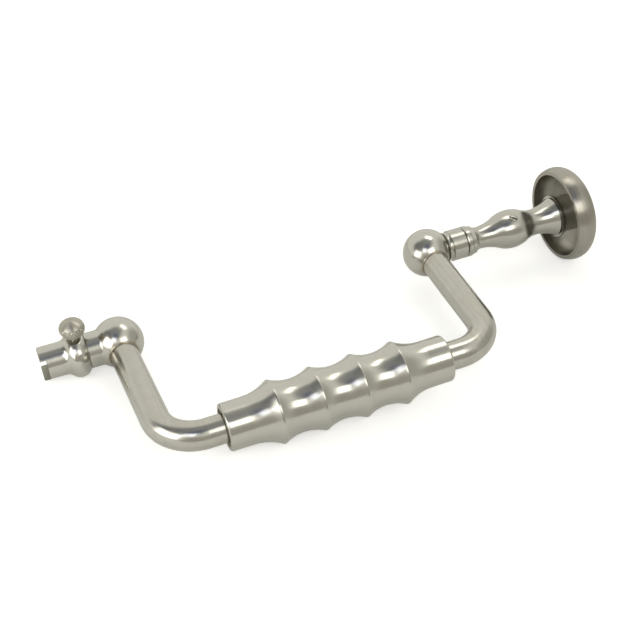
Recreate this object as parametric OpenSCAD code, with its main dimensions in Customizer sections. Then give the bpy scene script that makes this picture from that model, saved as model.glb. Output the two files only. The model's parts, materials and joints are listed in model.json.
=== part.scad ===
// Surgical hand drill: a crank brace with a slotted bit socket, a finger grip and a cupped head pad.
// The pieces are drawn about the tool's axis, which runs along X from the socket's mouth to the pad.
// The crank's grip lies towards -Y and the thumb screw stands towards +Z.
// resting() then lays the whole tool down on the plane z = 0, on its lower ball, grip and pad.

/* [Crank] */
// Distance from the tool's axis to the middle of the grip
throw = 71; // [56:0.5:88]
// Distance between the two balls, along the axis
crank_span = 151.5; // [120:0.5:185]
// Diameter of the crank rod
rod_d = 12.6; // [10:0.1:15.2]
// Bend radius of the rod's centre line
bend_r = 17.5; // [14:0.5:22]
// Lean of the lower arm towards the grip, in degrees
lower_lean = 2.5; // [0:0.5:5]
// Lean of the upper arm towards the grip, in degrees
upper_lean = 1; // [0:0.5:5]
// Diameter of both balls
ball_d = 22.8; // [20:0.2:27.4]
// Radius of the braze fillet round each rod end
braze_r = 1.2; // [1:0.1:3]

/* [Chuck] */
// Distance from the socket's mouth to the middle of the lower ball
chuck_reach = 35.1; // [32:0.1:42]
// Outside diameter of the socket
socket_d = 15.2; // [13.4:0.1:18.3]
// Diameter of the bore for the bit's shank
bore_d = 8.1; // [6.8:0.1:9.7]
// Depth of the bore, from the mouth
bore_depth = 19.1; // [17:0.1:19.4]
// Width of the drive slot across the mouth
slot_w = 10.8; // [9:0.1:11.4]
// Depth of the drive slot
slot_depth = 2.8; // [2:0.1:4]
// Largest diameter of the bead that carries the thumb screw
bead_d = 21.2; // [20.6:0.1:22]
// Distance from the mouth to the middle of the bead
bead_x = 16.4; // [15.2:0.1:16.8]
// Radius of the bead's outline
bead_round = 5; // [4.6:0.1:5]
// Radius of the hollow between the socket and the bead
bead_hollow = 4; // [2:0.1:5]
// Diameter of the neck between the bead and the ball
neck_d = 16; // [13.4:0.1:17]
// Fillet between the neck and the ball
neck_fillet = 1.5; // [0.5:0.1:3]
// Height of the thumb screw's spot-face above the neck
spot_lift = 1.3; // [1:0.1:1.6]

/* [Thumb screw] */
// How far the thumb screw stands behind the middle of the bead
screw_back = 0.6; // [0:0.1:0.8]
// Diameter of the threaded stem
stem_d = 3.8; // [3:0.1:4.6]
// Pitch of the thread
thread_pitch = 0.8; // [0.5:0.05:1]
// Height of the knob's underside above the spot-face when the screw is slack
knob_lift = 1.7; // [1.7:0.1:3.5]
// Largest diameter of the knob
knob_d = 11.4; // [9:0.1:14]
// Diameter of the knob's underside
knob_base_d = 6.8; // [5.8:0.1:8]
// Height of the knob's rounded, knurled skirt
skirt_h = 3.5; // [2.8:0.1:4.4]
// Height of the knob's dome
dome_h = 4.3; // [3:0.1:5]
// Number of knurl grooves round the skirt
knurl_count = 26; // [12:2:32]

/* [Handle] */
// Distance from the middle of the upper ball to the seam where the handle turns
seam_reach = 19.3; // [17:0.1:24]
// Diameter of the journal collar and of the handle's first ring
collar_d = 15; // [13.4:0.1:17]
// Length of the handle's first ring
ring_l = 2.6; // [1.5:0.1:4]
// Distance from the seam to the first waist
waist1_x = 8; // [7.6:0.1:9.6]
// Diameter at the first waist
waist1_d = 10.8; // [10.6:0.1:12.8]
// Distance from the seam to the middle of the bulge
bulge_x = 25.1; // [23.2:0.1:26.4]
// Largest diameter of the bulge
bulge_d = 18.9; // [17:0.1:22]
// Radius of the bulge's outline
bulge_round = 16; // [12:0.5:18]
// Distance from the seam to the second waist
waist2_x = 38; // [36.4:0.1:39.6]
// Diameter at the second waist
waist2_d = 12.8; // [12.4:0.1:14]
// Length of the handle, from the seam to the end of the flare
handle_l = 48.8; // [46.8:0.1:50.2]
// Radius of the flare's hollow outline
flare_round = 20; // [17:0.5:26]
// Diameter of the spindle
spindle_d = 6.5; // [5:0.1:6.8]
// How much thicker the spindle's end in the ball is, on the radius
tail_step = 0.35; // [0.2:0.05:0.8]
// Outside diameter of the two bushes
bush_d = 9.2; // [8.4:0.1:9.4]
// Diameter of the thrust ball
thrust_d = 6; // [4.8:0.1:6.6]
// Head diameter of the retaining screw
keeper_head_d = 4.1; // [3.4:0.1:4.8]
// Turn of the retaining screw away from the thumb screw's side, in degrees
keeper_turn = 22.3; // [0:0.1:180]

/* [Pad] */
// Largest diameter of the pad
pad_d = 46.6; // [38:0.2:56]
// Diameter of the pad's rim
rim_d = 44.4; // [36:0.2:54]
// Distance from the rim to the largest diameter
rim_depth = 4.4; // [3:0.1:6]
// Height of the crown above the largest diameter
crown_h = 11.7; // [9.7:0.1:14]
// Radius of the pad's shoulder
shoulder_r = 7.5; // [6:0.1:9]
// Wall of the pad
pad_wall = 1.5; // [1:0.1:2.2]
// Diameter of the boss in the middle of the pad
boss_d = 18; // [14:0.2:20]
// Diameter of the washer between the handle and the pad
washer_d = 20.6; // [17:0.2:24]
// Thickness of the washer
washer_t = 1.6; // [1:0.1:2.5]
// Width of the dark groove between the handle and the washer
washer_groove = 0.5; // [0.3:0.1:0.8]

/* [Grip] */
// Bare rod between each bend and the end of the grip
grip_gap = 7; // [3:0.5:12]
// Diameter of the grip's plain ends
grip_end_d = 20.4; // [19:0.1:24]
// Diameter over the finger ridges
ridge_d = 27.6; // [24:0.1:32]
// Number of finger ridges, where the length allows them
ridge_count = 4; // [2:1:5]
// Distance from one ridge to the next
finger_pitch = 18.35; // [16:0.05:22]
// Depth of the hollow between two ridges
hollow_depth = 2.3; // [1.5:0.1:3]
// Radius of each ridge's crest
crest_round = 1; // [0.6:0.1:2]
// Radius of the edges at the grip's two ends
grip_edge = 0.9; // [0.4:0.1:1.5]
// Length of the sweep from an end ridge down to the plain end
sweep_l = 12.3; // [9:0.1:15]
// Depth at which each bush sits inside the grip
bush_recess = 3; // [1:0.1:5]
// Length of each grip bush
grip_bush_l = 8; // [5:0.1:10]
// Wall of each grip bush
grip_bush_wall = 2.3; // [1.5:0.1:2.5]

/* [Fits] */
// Running clearance, on the radius
run_clear = 0.05; // [0.02:0.01:0.1]
// Clearance of brazed and pressed pieces, on the radius
press_clear = 0.02; // [0.01:0.01:0.05]
// Gap between faces that turn past each other
face_gap = 0.3; // [0.2:0.05:0.5]

/* [Hidden] */
$fn = 96;
cut = 1; // how far a cutter runs past the face that it opens
far = 100; // wider than any outline
wall_min = 0.8; // least wall left between two holes
edge_break = 0.4; // small chamfer on turned edges

steel = [0.72, 0.71, 0.68];
pale_steel = [0.80, 0.79, 0.76];
dark_steel = [0.52, 0.50, 0.47];
braze_tint = [0.66, 0.58, 0.40];
bronze = [0.72, 0.52, 0.28];

// crank
rod_r = rod_d / 2;
ball_r = ball_d / 2;
lower_ball_x = chuck_reach;
upper_ball_x = lower_ball_x + crank_span;
rod_seat_rim = 0.4; // flat left round the rod where it stands on the ball
rod_seat = sqrt(pow(ball_r, 2) - pow(rod_r + rod_seat_rim, 2));
tenon_step = 2.3;
tenon_r = rod_r - tenon_step;
tail_r = spindle_d / 2 + tail_step;
tenon_tip = tail_r + wall_min;
bend_y = bend_r - throw;
bend_lap = 0.1; // how far the straights run over each bend
bend_thin = 0.01; // how much thinner each bend is, as bending draws it
function arm_length(lean) = (throw - bend_r * (1 - sin(lean))) / cos(lean);
function bend_x(x, lean, side) = x + side * (arm_length(lean) * sin(lean) + bend_r * cos(lean));
// two arcs that meet smoothly have radii that add up to this, over a step of dx and dr
function arc_sum(dx, dr) = (pow(dx, 2) + pow(dr, 2)) / (2 * dr);
lower_bend_x = bend_x(lower_ball_x, lower_lean, 1);
upper_bend_x = bend_x(upper_ball_x, upper_lean, -1);

// chuck
socket_r = socket_d / 2;
bore_r = bore_d / 2;
bead_r = bead_d / 2;
neck_r = neck_d / 2;
bead_axis = bead_r - bead_round;
socket_end = bead_x + sqrt(pow(bead_round, 2) - pow(neck_r - bead_axis, 2));
spigot_step = 3;
spigot_r = neck_r - spigot_step;
spigot_l = lower_ball_x - rod_r - wall_min - socket_end;
spot_height = neck_r + spot_lift;
spot_r = bead_r - 3;

// thumb screw
stem_r = stem_d / 2;
knob_base = spot_height + knob_lift;
knob_rim = knob_base + skirt_h;
knob_r = knob_d / 2;
knob_base_r = knob_base_d / 2;
stem_back = 0.3; // how far the slack screw's tip stays back from the bore
stem_tip = bore_r + stem_back;
stem_in_dome = 1.2;
stem_top = knob_rim + stem_in_dome;
screw_x = bead_x + screw_back;
// the skirt's arc runs from the underside's edge to the widest place, where it stands upright
skirt_round = (pow(knob_r - knob_base_r, 2) + pow(skirt_h, 2)) / (2 * (knob_r - knob_base_r));
skirt_angle = asin(skirt_h / skirt_round);
dome_side = 0.85 * dome_h; // radius of the dome's side, below its flatter crown
dome_axis = knob_r - dome_side;
dome_crown = (pow(dome_axis, 2) + pow(dome_h, 2) - pow(dome_side, 2)) / (2 * (dome_h - dome_side));
dome_centre = knob_rim + dome_h - dome_crown;
dome_angle = atan2(dome_axis, knob_rim - dome_centre);

// handle
seam_x = upper_ball_x + seam_reach;
collar_front = upper_ball_x + rod_seat;
collar_end = seam_x - face_gap / 2;
barrel_front = seam_x + face_gap / 2;
barrel_end = seam_x + handle_l;
collar_r = collar_d / 2;
spindle_r = spindle_d / 2;
tail_l = rod_r;
bush_r = bush_d / 2;
front_bush_l = 5.6;
rear_bush_l = 8;
waist1_r = waist1_d / 2;
waist2_r = waist2_d / 2;
bulge_r = bulge_d / 2;
waist1_back_r = 4.5; // hollow between the first ring and the waist
waist_stock = 1; // metal left over each waist before its hollows are cut
waist1_round = arc_sum(bulge_x - waist1_x, bulge_r - waist1_r) - bulge_round;
waist2_round = arc_sum(waist2_x - bulge_x, bulge_r - waist2_r) - bulge_round;
// where the bulge's arc meets each waist's arc, as a share of the step between their middles
blend1 = bulge_round / (bulge_round + waist1_round);
blend2 = bulge_round / (bulge_round + waist2_round);
relief = 0.65; // gap round the spindle between the two bushes
bore_clear_r = spindle_r + relief;
keeper_x = seam_x + bulge_x;
keeper_r = 1.5;
keeper_head_h = 1.6;
keeper_slot_w = 0.7;
keeper_slot_depth = 0.8;
keeper_sink = 0.05; // how far the screw's head lies below the bulge
dog_clear = 0.1; // side play of the screw's dog in the spindle's groove
dog_lift = 0.2; // gap below the screw's dog
groove_depth = 1;
groove_r = spindle_r - groove_depth;
rear_bush_x = keeper_x + keeper_r + wall_min;
thrust_r = thrust_d / 2;
spindle_proud = 0.6; // how far the spindle stands out of the rear bush
spindle_end = rear_bush_x + rear_bush_l + spindle_proud;
cup_depth = 0.6; // depth of the cup at each side of the thrust ball
thrust_x = spindle_end + thrust_r - cup_depth;
plug_front = thrust_x + thrust_r - cup_depth;

// pad
washer_x = barrel_end;
rim_x = washer_x + washer_groove + washer_t + press_clear;
pad_wide_x = rim_x + rim_depth;
pad_r = pad_d / 2;
rim_r = rim_d / 2;
shoulder_axis = pad_r - shoulder_r;
side_round = (pow(rim_depth, 2) + pow(pad_r - rim_r, 2)) / (2 * (pad_r - rim_r));
crown_round = (pow(shoulder_axis, 2) + pow(crown_h, 2) - pow(shoulder_r, 2))
    / (2 * (crown_h - shoulder_r));
crown_centre = pad_wide_x + crown_h - crown_round;
// direction from the crown's centre to where its arc meets the shoulder's arc
crown_angle = atan2(shoulder_axis, pad_wide_x - crown_centre);
stud_r = 3;
crown_cover = 6; // from the stud's end to the top of the crown
stud_end = pad_wide_x + crown_h - crown_cover;
washer_r = washer_d / 2;
washer_step = 2; // how far the groove goes in below the washer's edge

// grip
straight_l = upper_bend_x - lower_bend_x;
grip_l = straight_l - 2 * grip_gap;
grip_x = lower_bend_x + grip_gap;
grip_end_r = grip_end_d / 2;
ridge_r = ridge_d / 2;
shortest_land = 2;
ridges_that_fit = 1 + floor((grip_l - 2 * (sweep_l + shortest_land)) / finger_pitch);
ridges = min(ridge_count, ridges_that_fit);
ridge_x0 = grip_x + (grip_l - (ridges - 1) * finger_pitch) / 2;
ridge_xs = [for (i = [0 : ridges - 1]) ridge_x0 + i * finger_pitch];
hollow_sum = arc_sum(finger_pitch / 2, hollow_depth);
sweep_sum = arc_sum(sweep_l, ridge_r - grip_end_r);
rod_groove_depth = 0.4;
grip_bush_in = rod_r - rod_groove_depth + run_clear;
grip_bush_r = grip_bush_in + grip_bush_wall;
grip_bore_r = rod_r + relief;
bush_end_play = 0.15;
bush_slit = 0.6;
lower_bush_x = grip_x + bush_recess;
upper_bush_x = grip_x + grip_l - bush_recess - grip_bush_l;

// rest: the tool lies on the lower ball, the first ridge of the grip and the pad's shoulder
pad_from_ball = pad_wide_x - lower_ball_x;
rest_pitch = atan2(shoulder_axis, pad_from_ball)
    - asin((ball_r - shoulder_r) / sqrt(pow(pad_from_ball, 2) + pow(shoulder_axis, 2)));
rest_roll = asin((ball_r - ridge_r * cos(rest_pitch) + (ridge_x0 - lower_ball_x) * sin(rest_pitch))
    / (throw * cos(rest_pitch)));
left_most = -socket_r * sin(rest_pitch);
right_most = crown_centre * cos(rest_pitch) + crown_round;
rest_shift = [
    -(left_most + right_most) / 2,
    (throw * cos(rest_roll) + ridge_r - pad_r) / 2,
    ball_r - lower_ball_x * sin(rest_pitch)
];

// Lays the tool down on the plane z = 0, with the middle of its footprint over the origin
module resting() {
    translate(rest_shift) rotate([rest_roll, -rest_pitch, 0]) children();
}

// Turns a Z axis into the tool's X axis, so a turned outline is drawn as [radius, x]
module turned() {
    rotate([0, 90, 0]) rotate_extrude() children();
}

// A plain round bar along the tool's axis
module bar(r, x0, x1) {
    translate([x0, 0, 0]) rotate([0, 90, 0]) cylinder(r = r, h = x1 - x0);
}

// Turns a Z axis into the line from a ball's middle down its arm of the crank
module down_arm(x, lean, side) {
    translate([x, 0, 0]) rotate([90, 0, side * lean]) children();
}

// The part of an outline between two places along the axis
module between(x0, x1) {
    intersection() {
        children();
        polygon([[0, x0], [far, x0], [far, x1], [0, x1]]);
    }
}

// One bend of the crank with its arm, and the tenon that goes into the ball, about the bend's centre
module arm(lean) {
    arm_l = arm_length(lean) - rod_seat;
    rotate([0, 0, 180 + lean]) {
        rotate_extrude(angle = 90 - lean) translate([bend_r, 0]) circle(r = rod_r - bend_thin);
        translate([bend_r, bend_lap, 0]) rotate([90, 0, 0]) {
            cylinder(r = rod_r, h = arm_l + bend_lap);
            translate([0, 0, arm_l + bend_lap - cut]) cylinder(r = tenon_r, h = rod_seat - tenon_tip + cut);
        }
    }
}

// The shallow groove in the rod that keeps one grip bush in its place
module bush_groove(x) {
    translate([x - bush_end_play, -throw, 0]) turned()
        translate([rod_r - rod_groove_depth, 0])
            square([rod_groove_depth + cut, grip_bush_l + 2 * bush_end_play]);
}

module crank_rod() resting() color(steel) difference() {
    translate([lower_bend_x, bend_y, 0]) {
        arm(lower_lean);
        translate([0, -bend_r, 0]) bar(rod_r, -bend_lap, straight_l + bend_lap);
        translate([straight_l, 0, 0]) mirror([1, 0, 0]) arm(upper_lean);
    }
    bush_groove(lower_bush_x);
    bush_groove(upper_bush_x);
}

// Flat seat and blind hole in a ball for one end of the crank rod
module rod_seat_cut(x, lean, side) {
    down_arm(x, lean, side) {
        translate([0, 0, rod_seat]) cylinder(r = ball_r, h = ball_r);
        translate([0, 0, tenon_tip - press_clear])
            cylinder(r = tenon_r + press_clear, h = ball_r);
    }
}

// Outline of a ball that stands on the axis
module ball_outline(x) {
    intersection() {
        translate([0, x]) circle(r = ball_r);
        translate([0, x - ball_r]) square([ball_r, ball_d]);
    }
}

module lower_knuckle() resting() color(steel) {
    fillet_x = lower_ball_x
        - sqrt(pow(ball_r + neck_fillet, 2) - pow(neck_r + neck_fillet, 2));
    meet = ball_r / (ball_r + neck_fillet);
    difference() {
        turned() {
            ball_outline(lower_ball_x);
            difference() {
                polygon([
                    [0, socket_end], [neck_r - edge_break, socket_end],
                    [neck_r, socket_end + edge_break], [neck_r, fillet_x],
                    [meet * (neck_r + neck_fillet), lower_ball_x + meet * (fillet_x - lower_ball_x)],
                    [0, lower_ball_x]
                ]);
                translate([neck_r + neck_fillet, fillet_x]) circle(r = neck_fillet);
            }
        }
        rod_seat_cut(lower_ball_x, lower_lean, 1);
        bar(spigot_r + press_clear, socket_end - cut, socket_end + spigot_l + press_clear);
    }
}

// Fillet of braze metal round one end of the crank rod, where it stands on its ball
module braze(x, lean, side) {
    lip = 0.2; // thickness of the braze at its edge
    inner = rod_r + press_clear;
    height = sqrt(pow(ball_r + braze_r, 2) - pow(rod_r + braze_r, 2));
    meet = ball_r / (ball_r + braze_r);
    down_arm(x, lean, side) rotate_extrude($fn = 180) difference() {
        polygon([
            [inner, rod_seat], [inner, height], [rod_r + braze_r, height],
            [meet * (rod_r + braze_r) + lip, meet * height]
        ]);
        translate([rod_r + braze_r, height]) circle(r = braze_r - lip, $fn = 180);
        circle(r = ball_r + press_clear, $fn = 180);
    }
}

module lower_braze() resting() color(braze_tint) braze(lower_ball_x, lower_lean, 1);

module upper_braze() resting() color(braze_tint) braze(upper_ball_x, upper_lean, -1);

// Outline of the socket, from its mouth to the edge where it meets the neck
module socket_outline() {
    lap = 0.01; // the bead's arc runs this far into the hollow's
    hollow_y = socket_r + bead_hollow;
    reach = bead_round + bead_hollow - lap;
    hollow_x = bead_x - sqrt(pow(reach, 2) - pow(hollow_y - bead_axis, 2));
    meet = (bead_round - lap / 2) / reach;
    meet_r = bead_axis + meet * (hollow_y - bead_axis);
    meet_x = bead_x + meet * (hollow_x - bead_x);
    difference() {
        polygon([
            [0, 0], [socket_r - edge_break, 0], [socket_r, edge_break], [socket_r, hollow_x],
            [meet_r, meet_x], [bead_axis, bead_x], [neck_r, socket_end], [0, socket_end]
        ]);
        translate([hollow_y, hollow_x]) circle(r = bead_hollow);
    }
    between(hollow_x, socket_end) translate([bead_axis, bead_x]) circle(r = bead_round);
}

module chuck_socket() resting() color(pale_steel) difference() {
    union() {
        turned() socket_outline();
        bar(spigot_r, socket_end - cut, socket_end + spigot_l);
    }
    // shank bore
    bar(bore_r, -cut, bore_depth);
    // drive slot, straight across the mouth
    translate([-cut, -socket_d, -slot_w / 2]) cube([slot_depth + cut, 2 * socket_d, slot_w]);
    // spot-face and tapped hole for the thumb screw
    translate([screw_x, 0, spot_height]) cylinder(r = spot_r, h = bead_r);
    translate([screw_x, 0, 0]) cylinder(r = stem_r + run_clear, h = bead_r);
}

module upper_knuckle() resting() color(steel) difference() {
    turned() ball_outline(upper_ball_x);
    rod_seat_cut(upper_ball_x, upper_lean, -1);
    // flat seat for the journal collar, and the hole for the spindle's tail
    bar(ball_r, collar_front, upper_ball_x + ball_d);
    bar(tail_r + press_clear, collar_front - tail_l - press_clear, upper_ball_x + ball_d);
}

module journal_collar() resting() color(pale_steel) {
    groove_round = 1.4;
    groove_from_ball = 1.3;
    groove_stand = 0.4; // how far the hollow's middle stands outside the collar
    hole_r = tail_r + press_clear;
    turned() difference() {
        polygon([
            [hole_r, collar_front], [collar_r, collar_front], [collar_r, collar_end - edge_break],
            [collar_r - edge_break, collar_end], [hole_r, collar_end]
        ]);
        translate([collar_r + groove_stand, collar_front + groove_from_ball])
            circle(r = groove_round);
    }
}

module spindle() resting() color(pale_steel) {
    groove_w = 2 * (keeper_r + dog_clear);
    difference() {
        union() {
            bar(tail_r, collar_front - tail_l, collar_end);
            bar(spindle_r, collar_end - cut, spindle_end);
        }
        // groove for the retaining screw's dog
        translate([keeper_x - groove_w / 2, 0, 0]) turned()
            translate([groove_r, 0]) square([spindle_r, groove_w]);
        // cup for the thrust ball
        translate([thrust_x, 0, 0]) sphere(r = thrust_r + run_clear);
    }
}

// Outline of the handle: ring, waist, bulge, second waist and flare
module handle_outline() {
    flare_r = waist2_r + flare_round
        - sqrt(pow(flare_round, 2) - pow(handle_l - waist2_x, 2));
    meet1 = [waist1_r + waist1_round, seam_x + waist1_x];
    meet2 = [waist2_r + waist2_round, seam_x + waist2_x];
    top = [bulge_r - bulge_round, seam_x + bulge_x];
    join1 = top + blend1 * (meet1 - top);
    join2 = top + blend2 * (meet2 - top);
    ring_end = barrel_front + ring_l;
    difference() {
        polygon([
            [0, barrel_front], [collar_r - edge_break, barrel_front],
            [collar_r, barrel_front + edge_break], [collar_r, ring_end - edge_break],
            [collar_r - edge_break, ring_end], [waist1_r + waist_stock, seam_x + waist1_x], join1,
            join2, [waist2_r + waist_stock, seam_x + waist2_x], [flare_r, barrel_end - edge_break],
            [flare_r - edge_break, barrel_end], [0, barrel_end]
        ]);
        between(ring_end, seam_x + waist1_x)
            translate([waist1_r + waist1_back_r, seam_x + waist1_x]) circle(r = waist1_back_r);
        between(seam_x + waist1_x, join1[1]) translate(meet1) circle(r = waist1_round);
        between(join2[1], seam_x + waist2_x) translate(meet2) circle(r = waist2_round);
        between(seam_x + waist2_x, barrel_end + cut)
            translate([waist2_r + flare_round, seam_x + waist2_x]) circle(r = flare_round);
    }
    between(join1[1], join2[1]) translate(top) circle(r = bulge_round);
}

// Places a Z axis along the retaining screw, which points out of the bulge
module at_keeper() {
    translate([keeper_x, 0, 0]) rotate([keeper_turn, 0, 0]) children();
}

module handle_barrel() resting() color(steel) difference() {
    turned() handle_outline();
    bar(bore_clear_r, barrel_front - cut, barrel_end);
    bar(bush_r + press_clear, barrel_front - cut, barrel_front + front_bush_l + press_clear);
    bar(bush_r + press_clear, rear_bush_x, barrel_end + cut);
    at_keeper() cylinder(r = keeper_r + press_clear, h = bulge_d);
    at_keeper() translate([0, 0, bulge_r - keeper_head_h - press_clear])
        cylinder(d = keeper_head_d + 2 * press_clear, h = bulge_r);
}

// A plain bush round the spindle
module spindle_bush(x, length) {
    difference() {
        bar(bush_r, x, x + length);
        bar(spindle_r + run_clear, x - cut, x + length + cut);
    }
}

module front_bush() resting() color(bronze) spindle_bush(barrel_front, front_bush_l);

module rear_bush() resting() color(bronze)
    spindle_bush(rear_bush_x + press_clear, rear_bush_l);

module thrust_ball() resting() color(pale_steel)
    translate([thrust_x, 0, 0]) sphere(r = thrust_r);

module retaining_screw() resting() color(pale_steel) at_keeper() difference() {
    union() {
        translate([0, 0, groove_r + dog_lift])
            cylinder(r = keeper_r, h = bulge_r - keeper_slot_depth - groove_r - dog_lift);
        translate([0, 0, bulge_r - keeper_head_h])
            cylinder(d = keeper_head_d, h = keeper_head_h - keeper_sink);
    }
    translate([-bulge_r, -keeper_slot_w / 2, bulge_r - keeper_slot_depth])
        cube([bulge_d, keeper_slot_w, bulge_r]);
}

module pad_stud() resting() color(steel) difference() {
    union() {
        bar(bush_r, plug_front, barrel_end);
        bar(stud_r, barrel_end - cut, stud_end);
    }
    translate([thrust_x, 0, 0]) sphere(r = thrust_r + press_clear);
}

module pad_washer() resting() color(pale_steel) difference() {
    union() {
        bar(washer_r - washer_step, washer_x + press_clear, rim_x - press_clear);
        bar(washer_r, washer_x + washer_groove, rim_x - press_clear);
    }
    bar(stud_r + press_clear, washer_x - cut, rim_x + cut);
}

// Outline of the pad, or of its hollow where inset is the wall
module pad_outline(inset) {
    front = rim_x - (inset > 0 ? cut : 0);
    side_axis = pad_r - side_round;
    crown = crown_round - inset;
    meet = [crown * sin(crown_angle), crown_centre + crown * cos(crown_angle)];
    polygon([
        [0, front], [side_axis, front], [side_axis, pad_wide_x], [shoulder_axis, pad_wide_x],
        meet, [0, crown_centre + crown]
    ]);
    between(front, pad_wide_x) translate([side_axis, pad_wide_x]) circle(r = side_round - inset);
    between(pad_wide_x, meet[1])
        translate([shoulder_axis, pad_wide_x]) circle(r = shoulder_r - inset);
    between(meet[1], crown_centre + crown) translate([0, crown_centre]) circle(r = crown);
}

module head_pad() resting() color(dark_steel) difference() {
    turned() pad_outline(0);
    difference() {
        turned() pad_outline(pad_wall);
        bar(boss_d / 2, rim_x, pad_wide_x + crown_h);
    }
    bar(stud_r + press_clear, rim_x - cut, stud_end + press_clear);
}

// Outline of the grip: plain ends, a sweep up to the end ridges, and a hollow between two ridges
module grip_outline() {
    crest_r = ridge_r - crest_round;
    last = ridge_xs[ridges - 1];
    edge_r = grip_end_r - grip_edge;
    grip_end = grip_x + grip_l;
    // where a crest meets the hollow beside it, for a hollow whose middle is dx away
    function join(x, dx, sum, depth) =
        let (share = crest_round / sum) [crest_r + share * (sum - depth), x + share * dx];
    sweep_in = ridge_r - grip_end_r;
    half = finger_pitch / 2;
    difference() {
        polygon(concat(
            [
                [0, grip_x], [edge_r, grip_x], [edge_r, grip_x + grip_edge],
                [grip_end_r, grip_x + grip_edge], [grip_end_r, ridge_x0 - sweep_l]
            ],
            [
                for (i = [0 : ridges - 1], side = [-1, 1])
                    let (outer = side < 0 ? i == 0 : i == ridges - 1)
                        join(
                            ridge_xs[i], side * (outer ? sweep_l : half),
                            outer ? sweep_sum : hollow_sum, outer ? sweep_in : hollow_depth
                        )
            ],
            [
                [grip_end_r, last + sweep_l], [grip_end_r, grip_end - grip_edge],
                [edge_r, grip_end - grip_edge], [edge_r, grip_end], [0, grip_end]
            ]
        ));
        for (x = [ridge_x0 - sweep_l, last + sweep_l])
            translate([grip_end_r + sweep_sum - crest_round, x]) circle(r = sweep_sum - crest_round);
        for (i = [0 : ridges - 2])
            translate([crest_r + hollow_sum - hollow_depth, ridge_xs[i] + half])
                circle(r = hollow_sum - crest_round);
    }
    for (x = ridge_xs) translate([crest_r, x]) circle(r = crest_round);
    for (x = [grip_x + grip_edge, grip_end - grip_edge])
        translate([edge_r, x]) circle(r = grip_edge);
}

module grip_sleeve() resting() color(steel) translate([0, -throw, 0]) difference() {
    turned() grip_outline();
    bar(grip_bore_r, grip_x - cut, grip_x + grip_l + cut);
    bar(grip_bush_r + press_clear, grip_x - cut, lower_bush_x + grip_bush_l + press_clear);
    bar(grip_bush_r + press_clear, upper_bush_x - press_clear, grip_x + grip_l + cut);
}

// Split bush that springs into the rod's groove and carries one end of the grip
module grip_bush(x) {
    translate([0, -throw, 0]) difference() {
        bar(grip_bush_r, x, x + grip_bush_l);
        bar(grip_bush_in, x - cut, x + grip_bush_l + cut);
        translate([x - cut, -bush_slit / 2, 0])
            cube([grip_bush_l + 2 * cut, bush_slit, grip_bush_r + cut]);
    }
}

module grip_bush_lower() resting() color(bronze) grip_bush(lower_bush_x);

module grip_bush_upper() resting() color(bronze) grip_bush(upper_bush_x);

module lock_stem() resting() color(dark_steel)
    translate([screw_x, 0, stem_tip]) cylinder(r = stem_r, h = stem_top - stem_tip);

// Rounded skirt under a flatter dome, drawn as [radius, height]
module knob_outline() {
    top = knob_rim + dome_h;
    meet = [dome_crown * sin(dome_angle), dome_centre + dome_crown * cos(dome_angle)];
    polygon([[0, knob_base], [knob_base_r, knob_base], [knob_r, knob_rim], meet, [0, top]]);
    between(knob_base, knob_rim) translate([knob_r - skirt_round, knob_rim]) circle(r = skirt_round);
    between(knob_rim, meet[1]) translate([dome_axis, knob_rim]) circle(r = dome_side);
    between(meet[1], top) translate([0, dome_centre]) circle(r = dome_crown);
}

module lock_knob() resting() color(dark_steel) translate([screw_x, 0, 0]) {
    groove_size = 0.45;
    lean = skirt_angle / 2; // lean of the skirt's surface, half way up it
    mid = [knob_r - skirt_round * (1 - cos(lean)), knob_rim - skirt_round * sin(lean)];
    groove_l = skirt_h + cut;
    difference() {
        rotate_extrude() knob_outline();
        translate([0, 0, knob_base - cut])
            cylinder(r = stem_r + run_clear, h = stem_top + face_gap - knob_base + cut);
        for (i = [0 : knurl_count - 1])
            rotate([0, 0, i * 360 / knurl_count]) translate([mid[0], 0, mid[1]])
                rotate([0, lean, 0]) translate([0, 0, -groove_l / 2])
                    cylinder(r = groove_size, h = groove_l, $fn = 6);
    }
}

crank_rod();
lower_knuckle();
lower_braze();
chuck_socket();
upper_knuckle();
upper_braze();
journal_collar();
spindle();
handle_barrel();
front_bush();
rear_bush();
thrust_ball();
retaining_screw();
pad_stud();
pad_washer();
head_pad();
grip_sleeve();
grip_bush_lower();
grip_bush_upper();
lock_stem();
lock_knob();
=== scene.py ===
"""Looks of a surgical hand drill: polished and turned steel on a white studio floor.

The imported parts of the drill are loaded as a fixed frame. Most shapes stay as they are and get
their finishes here. Two pieces are modelled anew: the thumb screw's knob, with its dome and its
knurled skirt, and the retaining screw, with its slot. Lengths are written in millimetres in the
tool's own frame, whose X axis runs from the socket's mouth to the pad, whose -Y side holds the
grip, and whose +Z side holds the thumb screw.
"""

import json
import logging
import math
from dataclasses import dataclass
from enum import Enum
from typing import Any, Sequence

import bmesh
import bpy
from mathutils import Matrix, Vector


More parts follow.
